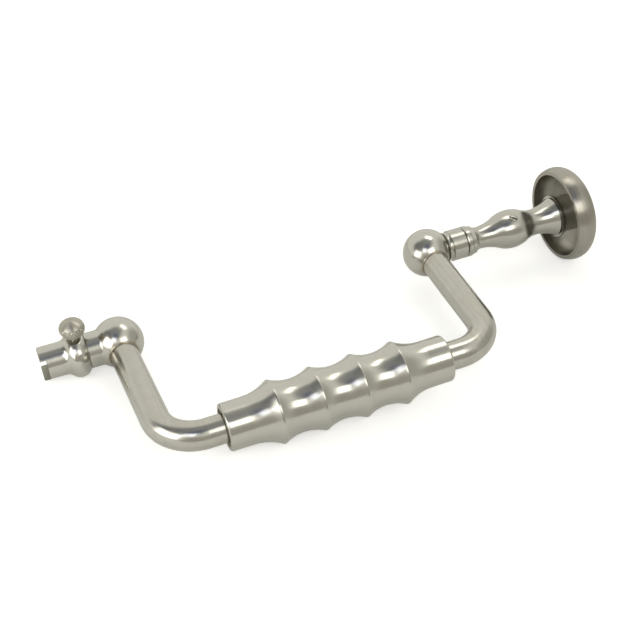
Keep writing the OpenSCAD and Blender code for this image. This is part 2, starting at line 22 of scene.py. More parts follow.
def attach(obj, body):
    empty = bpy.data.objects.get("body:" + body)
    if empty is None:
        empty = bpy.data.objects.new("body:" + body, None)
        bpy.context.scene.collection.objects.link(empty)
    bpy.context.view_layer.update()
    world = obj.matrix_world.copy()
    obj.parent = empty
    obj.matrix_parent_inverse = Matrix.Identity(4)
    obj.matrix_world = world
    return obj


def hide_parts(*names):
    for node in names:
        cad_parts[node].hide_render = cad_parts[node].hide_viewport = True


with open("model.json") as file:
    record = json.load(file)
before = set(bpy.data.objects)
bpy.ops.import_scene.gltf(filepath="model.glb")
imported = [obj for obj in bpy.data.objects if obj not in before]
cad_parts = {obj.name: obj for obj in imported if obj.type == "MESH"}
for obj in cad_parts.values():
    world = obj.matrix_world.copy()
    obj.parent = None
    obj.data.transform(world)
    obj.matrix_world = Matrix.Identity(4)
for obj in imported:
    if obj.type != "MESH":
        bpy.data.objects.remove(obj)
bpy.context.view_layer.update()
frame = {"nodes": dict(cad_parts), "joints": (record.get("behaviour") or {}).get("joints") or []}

MM = 0.001
SMOOTH_BELOW_DEG = 35.0
WHITE = (1.0, 1.0, 1.0, 1.0)
LOG = logging.getLogger("hand_drill")

Point = tuple[float, float, float]
Tree = bpy.types.NodeTree
Socket = bpy.types.NodeSocket


# ---------------------------------------------------------------- colours and nodes


def linear(hex_colour: str) -> tuple[float, float, float, float]:
    """Turns an sRGB hex colour into the linear colour that a shader wants.

    Args:
        hex_colour: A colour such as "#C4C1B8".

    Returns:
        Red, green, blue and an alpha of 1.
    """
    parts = [int(hex_colour[i : i + 2], 16) / 255 for i in (1, 3, 5)]
    r, g, b = (c / 12.92 if c <= 0.04045 else ((c + 0.055) / 1.055) ** 2.4 for c in parts)
    return (r, g, b, 1.0)


def add(
    tree: Tree, kind: str, inputs: dict[Any, Any] | None = None, **settings: Any
) -> bpy.types.Node:
    """Adds one node with its settings and links.

    Args:
        tree: The node tree that gets the node.
        kind: The node's type, without its "ShaderNode" start.
        inputs: For each input, by name or number, a socket to link or a value to set.
        **settings: Properties of the node, such as its operation.

    Returns:
        The new node.
    """
    new = tree.nodes.new("ShaderNode" + kind)
    for name, value in settings.items():
        setattr(new, name, value)
    for key, value in (inputs or {}).items():
        if isinstance(value, bpy.types.NodeSocket):
            tree.links.new(value, new.inputs[key])
        else:
            new.inputs[key].default_value = value
    return new


# ---------------------------------------------------------------- the tool's frame


@dataclass(frozen=True)
class ToolFrame:
    """Where the tool's own axes lie in the model, read from its two spinning joints."""

    origin: Vector
    turn: Matrix

    @classmethod
    def from_joints(cls, joints: Sequence[dict[str, Any]], seam_mm: float) -> "ToolFrame":
        """Finds the frame from the head's joint and the grip's joint.

        Args:
            joints: The record's joints.
            seam_mm: Distance from the socket's mouth to the head's joint.

        Returns:
            The tool's frame.
        """
        by_name = {j["name"]: j for j in joints}
        along = Vector(by_name["head_spin"]["axis"]).normalized()
        origin = Vector(by_name["head_spin"]["pos_m"]) - along * seam_mm * MM
        to_grip = Vector(by_name["grip_spin"]["pos_m"]) - origin
        across = -(to_grip - along * to_grip.dot(along)).normalized()
        up = along.cross(across)
        return cls(origin, Matrix((along, across, up)).transposed())

    def place(self, point_mm: Sequence[float]) -> Vector:
        """Returns a tool-frame point, in millimetres, as a point of the model, in metres."""
        return self.origin + self.turn @ (Vector(point_mm) * MM)

    def direction(self, way: Sequence[float]) -> Vector:
        """Returns a tool-frame direction as a unit direction of the model."""
        return (self.turn @ Vector(way)).normalized()

    def matrix(self) -> Matrix:
        """Returns the transform from tool-frame millimetres to the model's metres."""
        return Matrix.Translation(self.origin) @ self.turn.to_4x4() @ Matrix.Scale(MM, 4)


# ---------------------------------------------------------------- finishes

# How fine each noise is. The marks of a tool are crisp, the waves left by polishing are smooth, and
# the clouds of handling and wiping have detail down to small spots.
LINE_NOISE = {"Detail": 2.0, "Roughness": 0.6}
WAVE_NOISE = {"Detail": 1.0, "Roughness": 0.4}
CLOUD_NOISE = {"Detail": 4.0, "Roughness": 0.6}
HEAT_NOISE = {"Scale": 0.5, "Detail": 3.0}
# nearly all of a noise's values lie between these two
NOISE_LOW, NOISE_HIGH = 0.3, 0.7
# the bar's streaks are stretched along its arms, which run along the tool's Y axis
DRAWN_STRETCH = (1.0, 0.03, 1.0)
# a quarter turn: rings draw the highlight out across them, so along the profile
ACROSS_THE_RINGS = 0.25


class Lay(Enum):
    """How the marks of the last work on a surface run."""

    TURNED = "rings round an axis"
    DRAWN = "streaks along the crank's arms"
    POLISHED = "no direction"


@dataclass(frozen=True)
class HeatTint:
    """Straw-brown heat colour that brazing leaves on the steel round a joint."""

    spots_mm: tuple[Point, ...]
    core_mm: float
    reach_mm: float
    colour: str
    strength: float


@dataclass(frozen=True)
class RecessPaintedShadeAndLight:
    """Surfaces of a turned piece that the polish missed, its bore and a slot across its end:
    rougher, and coloured as painted shade (darker, socket) and painted light (paler, grip).

    A piece without a slot keeps the last two values as they are.
    """

    bore_r_mm: float
    colour: str
    roughness: float
    slot_depth_mm: float = -1.0
    slot_half_mm: float = 0.0


@dataclass(frozen=True)
class Metal:
    """A bare metal surface: its colour, its polish and the marks of its last tool.

    A metal mirrors its surroundings, so nearly all that is seen of it comes from its colour at
    normal incidence, its roughness and the small slopes that the work left. Real turning marks lie
    about 0.1 mm apart, which is finer than the render can show, so line_mm draws them coarser.
    """

    name: str
    colour: str
    shade: str
    roughness: float
    roughness_spread: float = 0.025
    lay: Lay = Lay.POLISHED
    axis_way: Point = (1.0, 0.0, 0.0)
    axis_at_mm: Point = (0.0, 0.0, 0.0)
    line_mm: float = 0.8
    line_height_mm: float = 0.0015
    wave_mm: float = 6.0
    wave_height_mm: float = 0.012
    cloud_mm: float = 4.0
    line_share: float = 0.2
    anisotropy: float = 0.0
    tint: HeatTint | None = None
    painted_recess: RecessPaintedShadeAndLight | None = None

    def material(self, tool: ToolFrame) -> bpy.types.Material:
        """Builds the metal's material.

        Args:
            tool: The tool's frame, in which the marks are laid.

        Returns:
            The material.
        """
        mat = bpy.data.materials.new(self.name)
        mat.use_nodes = True
        tree = mat.node_tree
        tree.nodes.clear()
        at = self._tool_position(tree, tool)
        marks = self._marks_position(tree, at)
        lines = add(tree, "TexNoise", {"Vector": marks, "Scale": 1 / self.line_mm, **LINE_NOISE})
        waves = add(tree, "TexNoise", {"Vector": at, "Scale": 1 / self.wave_mm, **WAVE_NOISE})
        clouds = add(tree, "TexNoise", {"Vector": at, "Scale": 1 / self.cloud_mm, **CLOUD_NOISE})
        rough = add(tree, "MapRange", {
            "Value": clouds.outputs["Fac"], "From Min": NOISE_LOW, "From Max": NOISE_HIGH,
            "To Min": self.roughness - self.roughness_spread,
            "To Max": self.roughness + self.roughness_spread,
        }).outputs["Result"]
        slow = add(tree, "Bump", {
            "Height": waves.outputs["Fac"], "Strength": 1.0, "Distance": self.wave_height_mm * MM,
        })
        fine = add(tree, "Bump", {
            "Height": lines.outputs["Fac"], "Strength": 1.0, "Distance": self.line_height_mm * MM,
            "Normal": slow.outputs["Normal"],
        })
        worn = add(tree, "Mix", {
            "Factor": self.line_share, 2: clouds.outputs["Fac"], 3: lines.outputs["Fac"],
        })
        base = add(tree, "Mix", {
            "Factor": worn.outputs["Result"], 6: linear(self.colour), 7: linear(self.shade),
        }, data_type="RGBA").outputs[2]
        if self.tint:
            base = self._tinted(tree, at, base)
        # painted shade and painted light: the bore and the end slot take a colour of their own,
        # darker in the socket and paler in the grip
        if self.painted_recess:
            inside = self._painted_recess_mask(tree, at)
            base = add(tree, "Mix", {
                "Factor": inside, 6: base, 7: linear(self.painted_recess.colour),
            }, data_type="RGBA").outputs[2]
            rough = add(tree, "Mix", {
                "Factor": inside, 2: rough, 3: self.painted_recess.roughness,
            }).outputs["Result"]
        shader = add(tree, "BsdfPrincipled", {
            "Base Color": base, "Metallic": 1.0, "Roughness": rough,
            "Normal": fine.outputs["Normal"], "Anisotropic": self.anisotropy,
            "Anisotropic Rotation": ACROSS_THE_RINGS,
        })
        if self.lay is Lay.TURNED:
            tree.links.new(self._round_the_axis(tree, tool), shader.inputs["Tangent"])
        add(tree, "OutputMaterial", {"Surface": shader.outputs["BSDF"]})
        return mat

    def _round_the_axis(self, tree: Tree, tool: ToolFrame) -> Socket:
        """Finds the direction in which the tool marks run round the axis.

        Args:
            tree: The material's node tree.
            tool: The tool's frame.

        Returns:
            The direction, in the world, at each point of the surface.
        """
        spot = add(tree, "TexCoord")
        arm = add(tree, "VectorMath", {
            0: spot.outputs["Object"], 1: tool.place(self.axis_at_mm),
        }, operation="SUBTRACT")
        round_it = add(tree, "VectorMath", {
            0: tool.direction(self.axis_way), 1: arm.outputs["Vector"],
        }, operation="CROSS_PRODUCT")
        turned = add(tree, "VectorTransform", {0: round_it.outputs["Vector"]},
                     vector_type="VECTOR", convert_from="OBJECT", convert_to="WORLD")
        return turned.outputs[0]

    def _tool_position(self, tree: Tree, tool: ToolFrame) -> Socket:
        """Places the surface in the tool's frame, about the axis of the marks.

        Args:
            tree: The material's node tree.
            tool: The tool's frame.

        Returns:
            The surface point, in millimetres.
        """
        back = (tool.matrix() @ Matrix.Translation(self.axis_at_mm)).inverted()
        spot = add(tree, "TexCoord")
        mapped = add(tree, "Mapping", {
            "Vector": spot.outputs["Object"], "Location": back.to_translation(),
            "Rotation": back.to_euler(), "Scale": back.to_scale(),
        })
        return mapped.outputs["Vector"]

    def _marks_position(self, tree: Tree, at: Socket) -> Socket:
        """Finds where the marks' noise is read, so that they run as the lay says.

        Args:
            tree: The material's node tree.
            at: The surface point in the tool's frame.

        Returns:
            The point at which the noise is read.
        """
        if self.lay is Lay.POLISHED:
            return at
        if self.lay is Lay.DRAWN:
            stretched = add(tree, "VectorMath", {0: at, 1: DRAWN_STRETCH}, operation="MULTIPLY")
            return stretched.outputs["Vector"]
        along, away = self._along_and_away(tree, at)
        return add(tree, "CombineXYZ", {"X": along, "Y": away}).outputs["Vector"]

    def _along_and_away(self, tree: Tree, at: Socket) -> tuple[Socket, Socket]:
        """Measures the surface point against the axis of the marks.

        Args:
            tree: The material's node tree.
            at: The surface point in the tool's frame.

        Returns:
            Its distance along the axis and its distance from the axis, in millimetres.
        """
        along = add(tree, "VectorMath", {0: at, 1: self.axis_way}, operation="DOT_PRODUCT")
        foot = add(tree, "VectorMath", {
            0: self.axis_way, "Scale": along.outputs["Value"],
        }, operation="SCALE")
        away = add(tree, "VectorMath", {0: at, 1: foot.outputs["Vector"]}, operation="DISTANCE")
        return along.outputs["Value"], away.outputs["Value"]

    def _painted_recess_mask(self, tree: Tree, at: Socket) -> Socket:
        """Tells the bore and the slot across the end, whose colour is painted shade and painted
        light, from the rest.

        Args:
            tree: The material's node tree.
            at: The surface point in the tool's frame.

        Returns:
            1 in the bore and in the slot across the end, and 0 elsewhere.
        """
        along, away = self._along_and_away(tree, at)
        bore = add(tree, "Math", {0: away, 1: self.painted_recess.bore_r_mm}, operation="LESS_THAN")
        end = add(tree, "Math", {0: along, 1: self.painted_recess.slot_depth_mm}, operation="LESS_THAN")
        across = add(tree, "SeparateXYZ", {"Vector": at})
        side = add(tree, "Math", {0: across.outputs["Z"]}, operation="ABSOLUTE")
        width = add(tree, "Math", {
            0: side.outputs[0], 1: self.painted_recess.slot_half_mm,
        }, operation="LESS_THAN")
        slot = add(tree, "Math", {0: end.outputs[0], 1: width.outputs[0]}, operation="MULTIPLY")
        either = add(tree, "Math", {0: bore.outputs[0], 1: slot.outputs[0]}, operation="MAXIMUM")
        return either.outputs[0]

    def _tinted(self, tree: Tree, at: Socket, base: Socket) -> Socket:
        """Lays heat colour over the base colour round each brazed joint.

        Args:
            tree: The material's node tree.
            at: The surface point in the tool's frame.
            base: The metal's own colour.

        Returns:
            The colour with the heat colour over it.
        """
        breakup = add(tree, "TexNoise", {"Vector": at, **HEAT_NOISE})
        for spot in self.tint.spots_mm:
            gap = add(tree, "VectorMath", {0: at, 1: spot}, operation="DISTANCE")
            near = add(tree, "MapRange", {
                "Value": gap.outputs["Value"], "To Min": 0.0, "To Max": self.tint.strength,
                "From Min": self.tint.reach_mm, "From Max": self.tint.core_mm,
            }, interpolation_type="SMOOTHSTEP")
            share = add(tree, "Math", {
                0: near.outputs["Result"], 1: breakup.outputs["Fac"],
            }, operation="MULTIPLY")
            base = add(tree, "Mix", {
                "Factor": share.outputs[0], 6: base, 7: linear(self.tint.colour),
            }, data_type="RGBA").outputs[2]
        return base


# ---------------------------------------------------------------- sub-assemblies


def clear_selection() -> None:
    """Deselects every object, so that an operator acts on the new one alone."""
    bpy.ops.object.select_all(action="DESELECT")


def dress(node_name: str, material: bpy.types.Material) -> None:
    """Gives a part of the frame its finish, in every material slot it has.

    Args:
        node_name: The part's name in the frame.
        material: The finish.
    """
    part = frame["nodes"][node_name]
    if not part.material_slots:
        part.data.materials.append(material)
    for slot in part.material_slots:
        slot.material = material
    LOG.info("%s: %s", node_name, material.name)


@dataclass
class CadGroup:
    """Parts of the frame whose shapes are right, with the finish that each of them gets."""

    name: str
    finishes: dict[str, Metal]

    def build(self, tool: ToolFrame) -> None:
        """Makes each finish once and gives it to its parts.

        Args:
            tool: The tool's frame.
        """
        made: dict[Metal, bpy.types.Material] = {}
        for node_name, finish in self.finishes.items():
            if finish not in made:
                made[finish] = finish.material(tool)
            dress(node_name, made[finish])
        LOG.info("%s dressed", self.name)


@dataclass
class ThumbKnob:
    """Knob of the thumb screw: a smooth round dome over a rounded skirt with a coarse knurl.

    In the photograph the knurl's grooves are about 0.9 mm apart, which is two pixels and too fine
    to show in the render, so this knurl is drawn coarser, with fewer diamonds.
    """

    metal: Metal
    axis_x_mm: float = 17.0
    base_z_mm: float = 11.0
    base_r_mm: float = 3.4
    first_ring_inset_mm: float = 0.5
    rim_z_mm: float = 14.5
    rim_r_mm: float = 5.7
    dome_mm: float = 4.3
    dome_side_mm: float = 3.655
    diamonds: int = 22
    columns_per_diamond: int = 8
    rows_high: int = 24
    knurl_depth_mm: float = 0.34
    knurled_dome_rows: int = 7
    dome_rows: int = 14
    # share of a groove's depth, by the number of columns from its middle
    groove_shares: tuple[float, ...] = (1.0, 0.55, 0.18)
    row_tolerance_mm: float = 0.01
    merge_mm: float = 0.0001

    def build(self, tool: ToolFrame) -> bpy.types.Object:
        """Models the knob, puts it in place and gives it its finish.

        Args:
            tool: The tool's frame.

        Returns:
            The finished knob.
        """
        clear_selection()
        radius, height = self.base_r_mm - self.first_ring_inset_mm, self.base_z_mm
        bpy.ops.mesh.primitive_circle_add(
            vertices=self.diamonds * self.columns_per_diamond, radius=radius,
            fill_type="NGON", location=(0, 0, height),
        )
        knob = bpy.context.object
        knob.name = "thumb_knob"
        bpy.ops.object.transform_apply(location=True, rotation=True, scale=True)
        bpy.ops.object.mode_set(mode="EDIT")
        self._select_boundary(knob)
        for next_radius, next_height in [*self._skirt(), *self._dome()]:
            bpy.ops.mesh.extrude_edges_move(
                TRANSFORM_OT_translate={"value": (0, 0, next_height - height)}
            )
            share = next_radius / radius
            bpy.ops.transform.resize(value=(share, share, 1), center_override=(0, 0, next_height))
            radius, height = next_radius, next_height
        bpy.ops.mesh.edge_face_add()
        bpy.ops.mesh.poke(offset=self._dome_height(0.0) - height)
        self._cut_knurl(knob)
        bpy.ops.mesh.select_all(action="SELECT")
        bpy.ops.mesh.remove_doubles(threshold=self.merge_mm)
        bpy.ops.mesh.normals_make_consistent(inside=False)
        bpy.ops.object.mode_set(mode="OBJECT")
        knob.data.transform(tool.matrix() @ Matrix.Translation((self.axis_x_mm, 0, 0)))
        bpy.ops.object.shade_smooth_by_angle(angle=math.radians(SMOOTH_BELOW_DEG))
        knob.data.materials.clear()
        knob.data.materials.append(self.metal.material(tool))
        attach(knob, "lock_knob")
        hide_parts("lock_knob")
        LOG.info("thumb_knob: %d faces", len(knob.data.polygons))
        return knob

    def _skirt(self) -> list[tuple[float, float]]:
        """Lays out the skirt, from the underside's edge to the widest place.

        Returns:
            Each row's radius and height.
        """
        step = self.rim_r_mm - self.base_r_mm
        high = self.rim_z_mm - self.base_z_mm
        arc = (step**2 + high**2) / (2 * step)
        lowest = math.asin(high / arc)
        rows = []
        for i in range(self.rows_high + 1):
            angle = lowest * (1 - i / self.rows_high)
            radius = self.rim_r_mm - arc * (1 - math.cos(angle))
            rows.append((radius, self.rim_z_mm - arc * math.sin(angle)))
        return rows

    def _arcs(self) -> tuple[float, float]:
        """Works out the dome's two arcs, which meet at a tangent.

        Returns:
            The side arc's distance from the axis, and the radius of the crown's arc.
        """
        off = self.rim_r_mm - self.dome_side_mm
        spare = self.dome_mm - self.dome_side_mm
        return off, (off**2 + self.dome_mm**2 - self.dome_side_mm**2) / (2 * spare)

    def _dome_height(self, radius: float) -> float:
        """Returns the height of the dome's crown at a radius."""
        crown = self._arcs()[1]
        return self.rim_z_mm + self.dome_mm - crown + math.sqrt(crown**2 - radius**2)

    def _dome(self) -> list[tuple[float, float]]:
        """Lays out the dome: its round side, then its flatter crown.

        Returns:
            Each row's radius and height.
        """
        off, crown = self._arcs()
        lean = math.atan2(off, crown - self.dome_mm)
        rows = []
        for i in range(1, self.dome_rows + 1):
            angle = (math.pi / 2 - lean) * i / self.dome_rows
            radius = off + self.dome_side_mm * math.cos(angle)
            rows.append((radius, self.rim_z_mm + self.dome_side_mm * math.sin(angle)))
        for i in range(1, self.dome_rows):
            radius = crown * math.sin(lean * (1 - i / self.dome_rows))
            rows.append((radius, self._dome_height(radius)))
        return rows

    def _select_boundary(self, knob: bpy.types.Object) -> None:
        """Selects the rim of the flat disc that the knob starts from.

        Args:
            knob: The knob, in edit mode.
        """
        bpy.context.tool_settings.mesh_select_mode = (False, True, False)
        mesh = bmesh.from_edit_mesh(knob.data)
        for edge in mesh.edges:
            edge.select = edge.is_boundary
        mesh.select_flush_mode()
        bmesh.update_edit_mesh(knob.data)

    def _cut_knurl(self, knob: bpy.types.Object) -> None:
        """Pushes the crossed grooves of the knurl in, deepest along their middles.

        Args:
            knob: The knob, in edit mode.
        """
        columns = self.diamonds * self.columns_per_diamond
        rows = [*self._skirt(), *self._dome()[: self.knurled_dome_rows]]
        heights = [height for _, height in rows]
        bpy.context.tool_settings.mesh_select_mode = (True, False, False)
        for step, share in enumerate(self.groove_shares):
            mesh = bmesh.from_edit_mesh(knob.data)
            for vert in mesh.verts:
                row = min(range(len(heights)), key=lambda i: abs(heights[i] - vert.co.z))
                knurled = abs(heights[row] - vert.co.z) < self.row_tolerance_mm and row > 0
                column = round(math.atan2(vert.co.y, vert.co.x) / math.tau * columns)
                gaps = [(column + way * row) % self.columns_per_diamond for way in (1, -1)]
                near = min(min(g, self.columns_per_diamond - g) for g in gaps)
                vert.select = knurled and near == step
            mesh.select_flush_mode()
            bmesh.update_edit_mesh(knob.data)
            scale = 1 - share * self.knurl_depth_mm / self.rim_r_mm
            bpy.ops.transform.resize(
                value=(scale, scale, 1), center_override=(0, 0, self.base_z_mm)
            )


@dataclass
class KeeperScrew:
    """Cheese-head screw let into the handle's bulge, with its slot and the chamfer of its head."""

    metal: Metal
    slot_metal: Metal
    along_mm: float = 231.0
    turn_deg: float = 22.3
    slot_turn_deg: float = -42.6
    top_mm: float = 9.4
    head_r_mm: float = 1.93
    head_h_mm: float = 1.5
    shank_r_mm: float = 1.45
    shank_mm: float = 3.0
    slot_w_mm: float = 0.8
    slot_depth_mm: float = 0.75
    chamfer_mm: float = 0.18
    chamfer_steps: int = 2
    sides: int = 72
    cutter_l_mm: float = 7.72
    flat_from: float = 0.99
    tolerance_mm: float = 0.01

    def build(self, tool: ToolFrame) -> bpy.types.Object:
        """Models the screw, puts it in place and gives it its finish.

        Args:
            tool: The tool's frame.

        Returns:
            The finished screw.
        """
        clear_selection()
        bpy.ops.mesh.primitive_cylinder_add(
            vertices=self.sides, radius=self.head_r_mm, depth=self.head_h_mm,
            location=(0, 0, self.top_mm - self.head_h_mm / 2),
        )
        screw = bpy.context.object
        screw.name = "keeper_screw"
        bpy.ops.object.transform_apply(location=True, rotation=True, scale=True)
        bpy.ops.object.mode_set(mode="EDIT")
        bpy.context.tool_settings.mesh_select_mode = (False, False, True)
        self._select_flat_face(screw, up=False)
        bpy.ops.mesh.inset(thickness=self.head_r_mm - self.shank_r_mm)
        bpy.ops.mesh.extrude_region_move(
            TRANSFORM_OT_translate={"value": (0, 0, -self.shank_mm)}
        )
        self._select_flat_face(screw, up=True)
        bpy.ops.mesh.bevel(offset=self.chamfer_mm, segments=self.chamfer_steps, affect="EDGES")
        bpy.ops.object.mode_set(mode="OBJECT")
        self._cut_slot(screw)
        in_slot = [self._is_in_slot(face.center) for face in screw.data.polygons]
        turn = Matrix.Rotation(math.radians(self.turn_deg), 4, "X")
        screw.data.transform(tool.matrix() @ Matrix.Translation((self.along_mm, 0, 0)) @ turn)
        bpy.ops.object.shade_smooth_by_angle(angle=math.radians(SMOOTH_BELOW_DEG))
        screw.data.materials.clear()
        screw.data.materials.append(self.metal.material(tool))
        screw.data.materials.append(self.slot_metal.material(tool))
        for face, inside in zip(screw.data.polygons, in_slot):
            face.material_index = int(inside)
        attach(screw, "head")
        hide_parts("retaining_screw")
        LOG.info("keeper_screw: %d faces", len(screw.data.polygons))
        return screw

    def _select_flat_face(self, screw: bpy.types.Object, up: bool) -> None:
        """Selects the flat face at the screw's top or bottom.

        Args:
            screw: The screw, in edit mode.
            up: Whether it is the face at the top.
        """
        mesh = bmesh.from_edit_mesh(screw.data)
        ends = [face for face in mesh.faces if abs(face.normal.z) > self.flat_from]
        chosen = (max if up else min)(ends, key=lambda face: face.calc_center_median().z)
        for face in mesh.faces:
            face.select = face is chosen
        mesh.select_flush_mode()
        bmesh.update_edit_mesh(screw.data)

    def _is_in_slot(self, at: Vector) -> bool:
        """Tells whether a point of the screw lies on the slot's floor or on one of its sides.

        Args:
            at: A point of the screw before it is put in place, in millimetres.

        Returns:
            True in the slot.
        """
        turn = math.radians(self.slot_turn_deg)
        off = abs(at.y * math.cos(turn) - at.x * math.sin(turn))
        below = self.top_mm - at.z
        deep_enough = self.tolerance_mm < below < self.slot_depth_mm + self.tolerance_mm
        return deep_enough and off < self.slot_w_mm / 2 + self.tolerance_mm

    def _cut_slot(self, screw: bpy.types.Object) -> None:
        """Cuts the screwdriver slot across the head.

        Args:
            screw: The screw, in object mode.
        """
        clear_selection()
        bpy.ops.mesh.primitive_cube_add(
            size=1, location=(0, 0, self.top_mm), rotation=(0, 0, math.radians(self.slot_turn_deg)),
            scale=(self.cutter_l_mm, self.slot_w_mm, 2 * self.slot_depth_mm),
        )
        cutter = bpy.context.object
        clear_selection()
        screw.select_set(True)
        bpy.context.view_layer.objects.active = screw
        cut = screw.modifiers.new("slot", "BOOLEAN")
        cut.object, cut.operation, cut.solver = cutter, "DIFFERENCE", "EXACT"
        bpy.ops.object.modifier_apply(modifier="slot")
        bpy.data.objects.remove(cutter)


# ---------------------------------------------------------------- studio


@dataclass(frozen=True)
class Lamp:
    """A soft lamp, placed in the tool's frame and aimed at the tool."""

    name: str
    place_mm: Point
    size_mm: tuple[float, float]
    radiance: float
    colour: str


@dataclass(frozen=True)
class Patch:
    """A part of the walls of another shade: where it lies, turned from X and up, and its edge."""

    turned_deg: float
    up_deg: float
    core_deg: float
    edge_deg: float
    colour: str


@dataclass
class Studio:
    """White floor, soft lamps, pale walls and the camera at the photograph's angle."""

    lamps: tuple[Lamp, ...]
    patches: tuple[Patch, ...]
    walls: str = "#F4F3EB"
    floor: str = "#E7E7E4"
    # light of its own that the floor shows to the camera, and in the metal
    floor_glow: float = 0.5
    mirrored_glow: float = 0.04
    floor_half_m: float = 3.0
    floor_drop_m: float = 0.00002
    # the camera was solved from points of the photograph
    aim_mm: Point = (131.0, -15.0, 0.0)
    eye_mm: Point = (-0.070, -383.268, 317.159)
    right: Point = (0.929, -0.367, -0.057)
    ahead: Point = (0.247, 0.726, -0.642)
    lens_mm: float = 62.04
    sensor_mm: float = 36.0
    clip_m: tuple[float, float] = (0.01, 20.0)

    def build(self, tool: ToolFrame) -> None:
        """Builds the walls, the floor, the lamps and the camera.

        Args:
            tool: The tool's frame.
        """
        self._walls(tool)
        self._floor()
        for lamp in self.lamps:
            self._lamp(tool, lamp)
        self._camera(tool)
        bpy.context.scene.view_settings.view_transform = "Standard"

    def _walls(self, tool: ToolFrame) -> None:
        """Makes the world: pale walls with the darker parts that the metal mirrors.

        Args:
            tool: The tool's frame.
        """
        world = bpy.data.worlds.new("studio_walls")
        bpy.context.scene.world = world
        world.use_nodes = True
        tree = world.node_tree
        tree.nodes.clear()
        look = add(tree, "TexCoord")
        colour: Any = linear(self.walls)
        for patch in self.patches:
            turned, up = math.radians(patch.turned_deg), math.radians(patch.up_deg)
            flat = math.cos(up)
            way = (flat * math.cos(turned), flat * math.sin(turned), math.sin(up))
            lean = add(tree, "VectorMath", {
                0: look.outputs["Generated"], 1: tool.direction(way),
            }, operation="DOT_PRODUCT")
            share = add(tree, "MapRange", {
                "Value": lean.outputs["Value"], "To Min": 0.0, "To Max": 1.0,
                "From Min": math.cos(math.radians(patch.edge_deg)),
                "From Max": math.cos(math.radians(patch.core_deg)),
            }, interpolation_type="SMOOTHSTEP")
            colour = add(tree, "Mix", {
                "Factor": share.outputs["Result"], 6: colour, 7: linear(patch.colour),
            }, data_type="RGBA").outputs[2]
        lit = add(tree, "Background", {"Color": colour, "Strength": 1.0})
        white = add(tree, "Background", {"Color": WHITE, "Strength": 1.0})
        path = add(tree, "LightPath")
        both = add(tree, "MixShader", {
            0: path.outputs["Is Camera Ray"], 1: lit.outputs[0], 2: white.outputs[0],
        })
        add(tree, "OutputWorld", {"Surface": both.outputs[0]})

    def _floor(self) -> None:
        """Lays the floor: pale to the lamps, white with a faint shadow to the camera."""
        clear_selection()
        bpy.ops.mesh.primitive_plane_add(
            size=2 * self.floor_half_m, location=(0, 0, -self.floor_drop_m)
        )
        plane = bpy.context.object
        plane.name = "studio_floor"
        mat = bpy.data.materials.new("matt white studio paper")
        mat.use_nodes = True
        tree = mat.node_tree
        tree.nodes.clear()
        pale = add(tree, "BsdfDiffuse", {"Color": linear(self.floor)})
        path = add(tree, "LightPath")
        seen = add(tree, "Math", {
            0: path.outputs["Is Camera Ray"], 1: self.floor_glow,
        }, operation="MULTIPLY")
        mirror = add(tree, "Math", {
            0: path.outputs["Is Glossy Ray"], 1: path.outputs["Is Transmission Ray"],
        }, operation="ADD")
        both = add(tree, "Math", {
            0: mirror.outputs[0], 1: self.mirrored_glow, 2: seen.outputs[0],
        }, operation="MULTIPLY_ADD")
        glow = add(tree, "Emission", {"Color": WHITE, "Strength": both.outputs[0]})
        paper = add(tree, "AddShader", {0: pale.outputs[0], 1: glow.outputs[0]})
        add(tree, "OutputMaterial", {"Surface": paper.outputs[0]})
        plane.data.materials.append(mat)

    def _lamp(self, tool: ToolFrame, lamp: Lamp) -> None:
        """Hangs one lamp.

        Args:
            tool: The tool's frame.
            lamp: The lamp's place, size and light.
        """
        data = bpy.data.lights.new(lamp.name, "AREA")
        data.shape = "RECTANGLE"
        data.size, data.size_y = (s * MM for s in lamp.size_mm)
        # the power that gives the panel this radiance, which is how bright a mirror shows it
        data.energy = lamp.radiance * math.pi * data.size * data.size_y
        data.color = linear(lamp.colour)[:3]
        obj = bpy.data.objects.new(lamp.name, data)
        bpy.context.scene.collection.objects.link(obj)
        place, aim = tool.place(lamp.place_mm), tool.place(self.aim_mm)
        turn = (aim - place).to_track_quat("-Z", "Y").to_matrix()
        obj.matrix_world = Matrix.Translation(place) @ turn.to_4x4()
        obj.visible_camera = False

    def _camera(self, tool: ToolFrame) -> None:
        """Stands the camera at the photograph's angle.

        Args:
            tool: The tool's frame.
        """
        data = bpy.data.cameras.new("camera")
        data.lens, data.sensor_width = self.lens_mm, self.sensor_mm
        data.clip_start, data.clip_end = self.clip_m
        obj = bpy.data.objects.new("camera", data)
        bpy.context.scene.collection.objects.link(obj)
        back = -tool.direction(self.ahead)
        right = tool.direction(self.right)
        right = (right - back * right.dot(back)).normalized()
        turn = Matrix((right, back.cross(right), back)).transposed()
        obj.matrix_world = Matrix.Translation(tool.place(self.eye_mm)) @ turn.to_4x4()
        bpy.context.scene.camera = obj


# ---------------------------------------------------------------- everything together

THROW_MM = 71.0
SEAM_MM = 205.9
GRIP_AXIS_MM = (0.0, -THROW_MM, 0.0)

BRAZED_SPOTS = HeatTint(
    spots_mm=((33.5, -11.0, -1.0), (184.9, -11.0, -1.0)), core_mm=5.0, reach_mm=8.5,
    colour="#A08C74", strength=0.5,
)

# 304 stainless bar, bent cold, then linished along its arms and polished: soft streaks
CRANK = Metal(
    "polished stainless bar", "#CECDC6", "#AEABA1", 0.2, lay=Lay.DRAWN, line_mm=1.4,
    line_height_mm=0.006, line_share=0.6, tint=BRAZED_SPOTS,
)
# the same steel as a polished ball: the brightest mirror on the drill, with heat colour at the bar
BALL = Metal("polished stainless ball", "#C9C8C1", "#BFBDB4", 0.19, tint=BRAZED_SPOTS)
